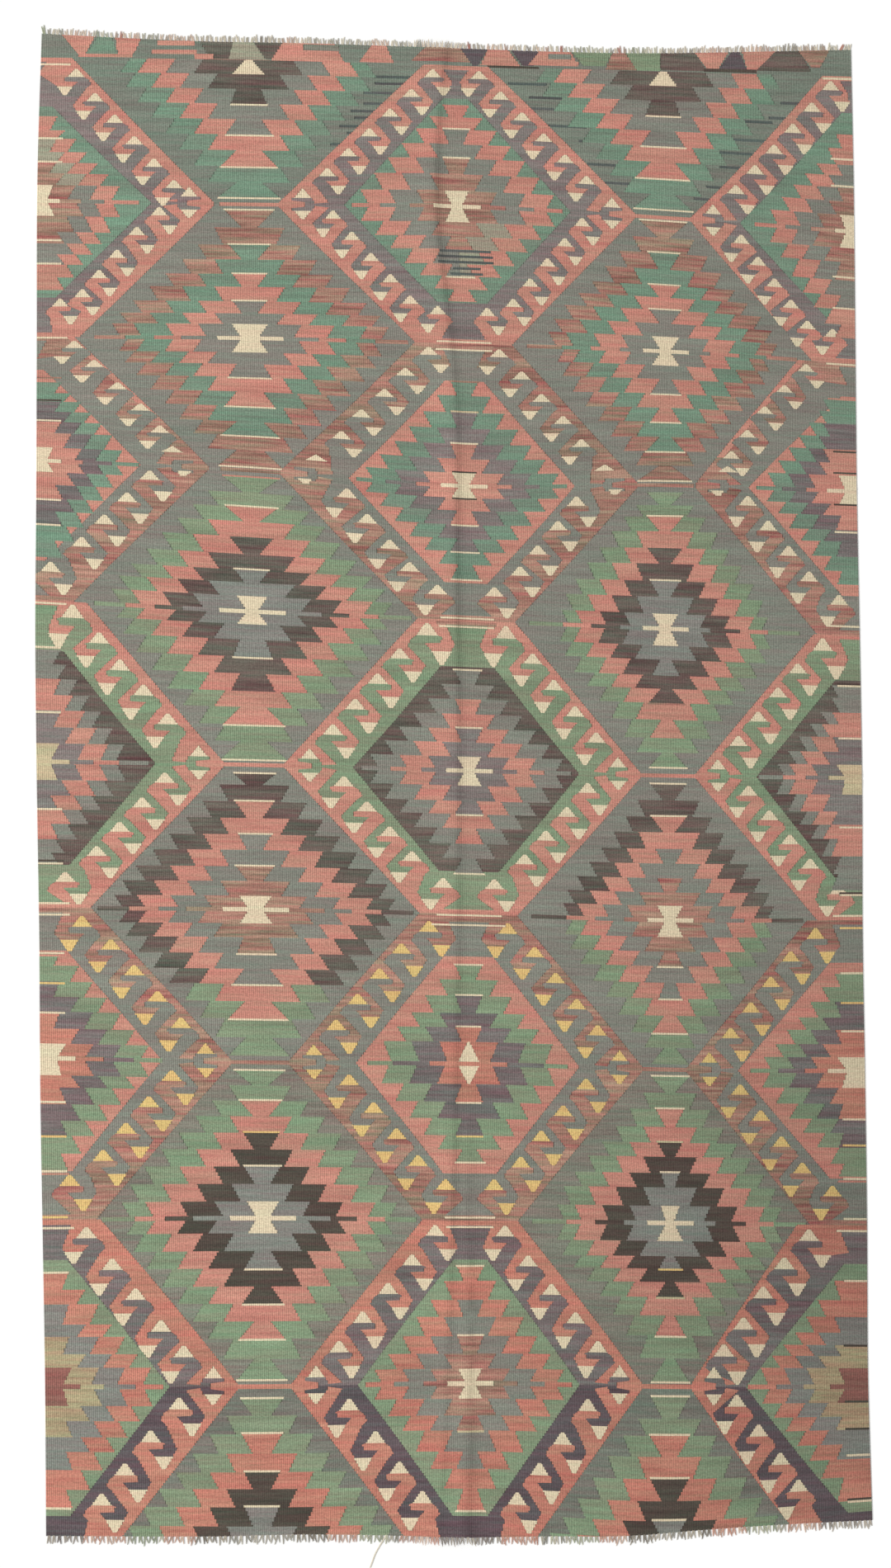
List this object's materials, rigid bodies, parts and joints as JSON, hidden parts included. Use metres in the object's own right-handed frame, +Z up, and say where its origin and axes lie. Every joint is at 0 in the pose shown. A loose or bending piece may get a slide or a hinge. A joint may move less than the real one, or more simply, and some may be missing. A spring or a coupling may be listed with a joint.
{
  "type": "kilim rug",
  "caption": "Flat handwoven wool kilim rug with stepped diamond medallions between hooked bands, short warp-end fringes at both ends and a soft lengthwise crease.",
  "frame": {"origin": "on the floor under the middle of the rug's box, fringes included", "axes": "+X across the rug, +Y along it towards the upper hem, +Z up"},
  "size_m": [1.709, 3.147, 0.0095],
  "materials": {
    "woven_wool": "matt ribbed handwoven wool in muted salmon, green, slate, purple, brown-black and cream",
    "warp_wool": "matt undyed wool warp ends, tinted by the dyed wefts beside them"
  },
  "bodies": {
    "root": {"woven_field": "woven_wool", "fringe_top": "warp_wool", "fringe_bottom": "warp_wool"}
  },
  "joints": []
}
